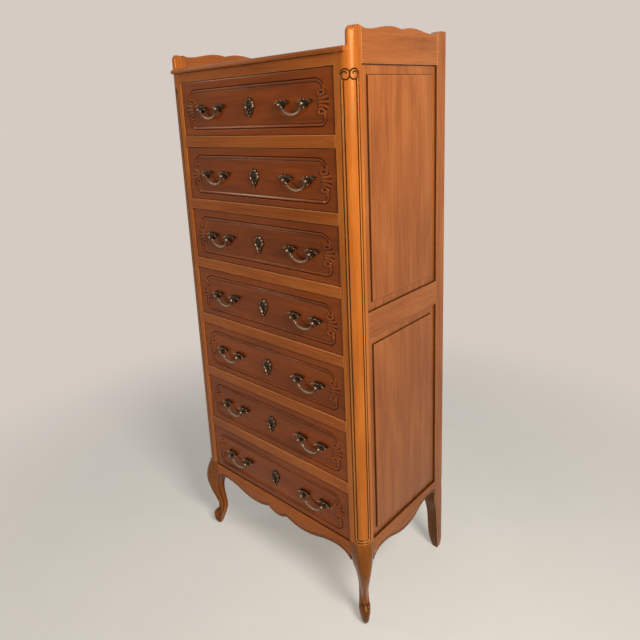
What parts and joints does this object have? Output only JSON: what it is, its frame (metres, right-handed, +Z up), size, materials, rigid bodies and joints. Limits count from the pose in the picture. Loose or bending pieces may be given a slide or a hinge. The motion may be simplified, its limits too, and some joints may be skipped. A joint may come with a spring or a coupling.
{
  "type": "semainier",
  "caption": "Tall narrow wooden chest of stacked drawers on cabriole legs, with fielded side panels, side galleries on top and swinging drop handles.",
  "frame": {"origin": "on the floor, at the middle of the object's box", "axes": "+Z up, -Y the way the drawers open, +X to the right of someone who faces the front"},
  "size_m": [0.6568, 0.4018, 1.5],
  "materials": {
    "carcase_wood": "satin varnish",
    "panel_wood": "satin varnish",
    "drawer_wood": "satin varnish",
    "inner_wood": "plain planed wood",
    "bronze": "aged bronze"
  },
  "bodies": {
    "carcase": {"left_front_post": "carcase_wood", "right_front_post": "carcase_wood", "left_rear_post": "carcase_wood", "right_rear_post": "carcase_wood", "left_gallery": "carcase_wood", "right_gallery": "carcase_wood", "side_middle_rails": "carcase_wood", "side_aprons": "carcase_wood", "front_rails": "carcase_wood", "front_apron": "carcase_wood", "top_board": "carcase_wood", "left_upper_panel": "panel_wood", "right_upper_panel": "panel_wood", "left_lower_panel": "panel_wood", "right_lower_panel": "panel_wood", "back_panel": "inner_wood", "back_rails": "inner_wood", "drawer_runners": "inner_wood"},
    "drawer_1": {"drawer_1_front": "drawer_wood", "drawer_1_box": "inner_wood", "drawer_1_rosettes": "bronze", "drawer_1_escutcheon": "bronze"},
    "drawer_1_left_bail": {"drawer_1_left_bail": "bronze"},
    "drawer_1_right_bail": {"drawer_1_right_bail": "bronze"},
    "drawer_2": {"drawer_2_front": "drawer_wood", "drawer_2_box": "inner_wood", "drawer_2_rosettes": "bronze", "drawer_2_escutcheon": "bronze"},
    "drawer_2_left_bail": {"drawer_2_left_bail": "bronze"},
    "drawer_2_right_bail": {"drawer_2_right_bail": "bronze"},
    "drawer_3": {"drawer_3_front": "drawer_wood", "drawer_3_box": "inner_wood", "drawer_3_rosettes": "bronze", "drawer_3_escutcheon": "bronze"},
    "drawer_3_left_bail": {"drawer_3_left_bail": "bronze"},
    "drawer_3_right_bail": {"drawer_3_right_bail": "bronze"},
    "drawer_4": {"drawer_4_front": "drawer_wood", "drawer_4_box": "inner_wood", "drawer_4_rosettes": "bronze", "drawer_4_escutcheon": "bronze"},
    "drawer_4_left_bail": {"drawer_4_left_bail": "bronze"},
    "drawer_4_right_bail": {"drawer_4_right_bail": "bronze"},
    "drawer_5": {"drawer_5_front": "drawer_wood", "drawer_5_box": "inner_wood", "drawer_5_rosettes": "bronze", "drawer_5_escutcheon": "bronze"},
    "drawer_5_left_bail": {"drawer_5_left_bail": "bronze"},
    "drawer_5_right_bail": {"drawer_5_right_bail": "bronze"},
    "drawer_6": {"drawer_6_front": "drawer_wood", "drawer_6_box": "inner_wood", "drawer_6_rosettes": "bronze", "drawer_6_escutcheon": "bronze"},
    "drawer_6_left_bail": {"drawer_6_left_bail": "bronze"},
    "drawer_6_right_bail": {"drawer_6_right_bail": "bronze"},
    "drawer_7": {"drawer_7_front": "drawer_wood", "drawer_7_box": "inner_wood", "drawer_7_rosettes": "bronze", "drawer_7_escutcheon": "bronze"},
    "drawer_7_left_bail": {"drawer_7_left_bail": "bronze"},
    "drawer_7_right_bail": {"drawer_7_right_bail": "bronze"}
  },
  "joints": [
    {"name": "drawer_1_slide", "type": "slide", "parent": "carcase", "child": "drawer_1", "axis": [0, -1, 0], "range_m": [0, 0.26]},
    {"name": "drawer_1_left_bail_swing", "type": "hinge", "parent": "drawer_1", "child": "drawer_1_left_bail", "pos_m": [-0.15, -0.1973, 1.3465], "axis": [-1, 0, 0], "range_deg": [-15, 95]},
    {"name": "drawer_1_right_bail_swing", "type": "hinge", "parent": "drawer_1", "child": "drawer_1_right_bail", "pos_m": [0.15, -0.1973, 1.3465], "axis": [-1, 0, 0], "range_deg": [-15, 95]},
    {"name": "drawer_2_slide", "type": "slide", "parent": "carcase", "child": "drawer_2", "axis": [0, -1, 0], "range_m": [0, 0.26]},
    {"name": "drawer_2_left_bail_swing", "type": "hinge", "parent": "drawer_2", "child": "drawer_2_left_bail", "pos_m": [-0.15, -0.1973, 1.174], "axis": [-1, 0, 0], "range_deg": [-15, 95]},
    {"name": "drawer_2_right_bail_swing", "type": "hinge", "parent": "drawer_2", "child": "drawer_2_right_bail", "pos_m": [0.15, -0.1973, 1.174], "axis": [-1, 0, 0], "range_deg": [-15, 95]},
    {"name": "drawer_3_slide", "type": "slide", "parent": "carcase", "child": "drawer_3", "axis": [0, -1, 0], "range_m": [0, 0.26]},
    {"name": "drawer_3_left_bail_swing", "type": "hinge", "parent": "drawer_3", "child": "drawer_3_left_bail", "pos_m": [-0.15, -0.1973, 1.0015], "axis": [-1, 0, 0], "range_deg": [-15, 95]},
    {"name": "drawer_3_right_bail_swing", "type": "hinge", "parent": "drawer_3", "child": "drawer_3_right_bail", "pos_m": [0.15, -0.1973, 1.0015], "axis": [-1, 0, 0], "range_deg": [-15, 95]},
    {"name": "drawer_4_slide", "type": "slide", "parent": "carcase", "child": "drawer_4", "axis": [0, -1, 0], "range_m": [0, 0.26]},
    {"name": "drawer_4_left_bail_swing", "type": "hinge", "parent": "drawer_4", "child": "drawer_4_left_bail", "pos_m": [-0.15, -0.1973, 0.829], "axis": [-1, 0, 0], "range_deg": [-15, 95]},
    {"name": "drawer_4_right_bail_swing", "type": "hinge", "parent": "drawer_4", "child": "drawer_4_right_bail", "pos_m": [0.15, -0.1973, 0.829], "axis": [-1, 0, 0], "range_deg": [-15, 95]},
    {"name": "drawer_5_slide", "type": "slide", "parent": "carcase", "child": "drawer_5", "axis": [0, -1, 0], "range_m": [0, 0.26]},
    {"name": "drawer_5_left_bail_swing", "type": "hinge", "parent": "drawer_5", "child": "drawer_5_left_bail", "pos_m": [-0.15, -0.1973, 0.6565], "axis": [-1, 0, 0], "range_deg": [-15, 95]},
    {"name": "drawer_5_right_bail_swing", "type": "hinge", "parent": "drawer_5", "child": "drawer_5_right_bail", "pos_m": [0.15, -0.1973, 0.6565], "axis": [-1, 0, 0], "range_deg": [-15, 95]},
    {"name": "drawer_6_slide", "type": "slide", "parent": "carcase", "child": "drawer_6", "axis": [0, -1, 0], "range_m": [0, 0.26]},
    {"name": "drawer_6_left_bail_swing", "type": "hinge", "parent": "drawer_6", "child": "drawer_6_left_bail", "pos_m": [-0.15, -0.1973, 0.484], "axis": [-1, 0, 0], "range_deg": [-15, 95]},
    {"name": "drawer_6_right_bail_swing", "type": "hinge", "parent": "drawer_6", "child": "drawer_6_right_bail", "pos_m": [0.15, -0.1973, 0.484], "axis": [-1, 0, 0], "range_deg": [-15, 95]},
    {"name": "drawer_7_slide", "type": "slide", "parent": "carcase", "child": "drawer_7", "axis": [0, -1, 0], "range_m": [0, 0.26]},
    {"name": "drawer_7_left_bail_swing", "type": "hinge", "parent": "drawer_7", "child": "drawer_7_left_bail", "pos_m": [-0.15, -0.1973, 0.3115], "axis": [-1, 0, 0], "range_deg": [-15, 95]},
    {"name": "drawer_7_right_bail_swing", "type": "hinge", "parent": "drawer_7", "child": "drawer_7_right_bail", "pos_m": [0.15, -0.1973, 0.3115], "axis": [-1, 0, 0], "range_deg": [-15, 95]}
  ]
}
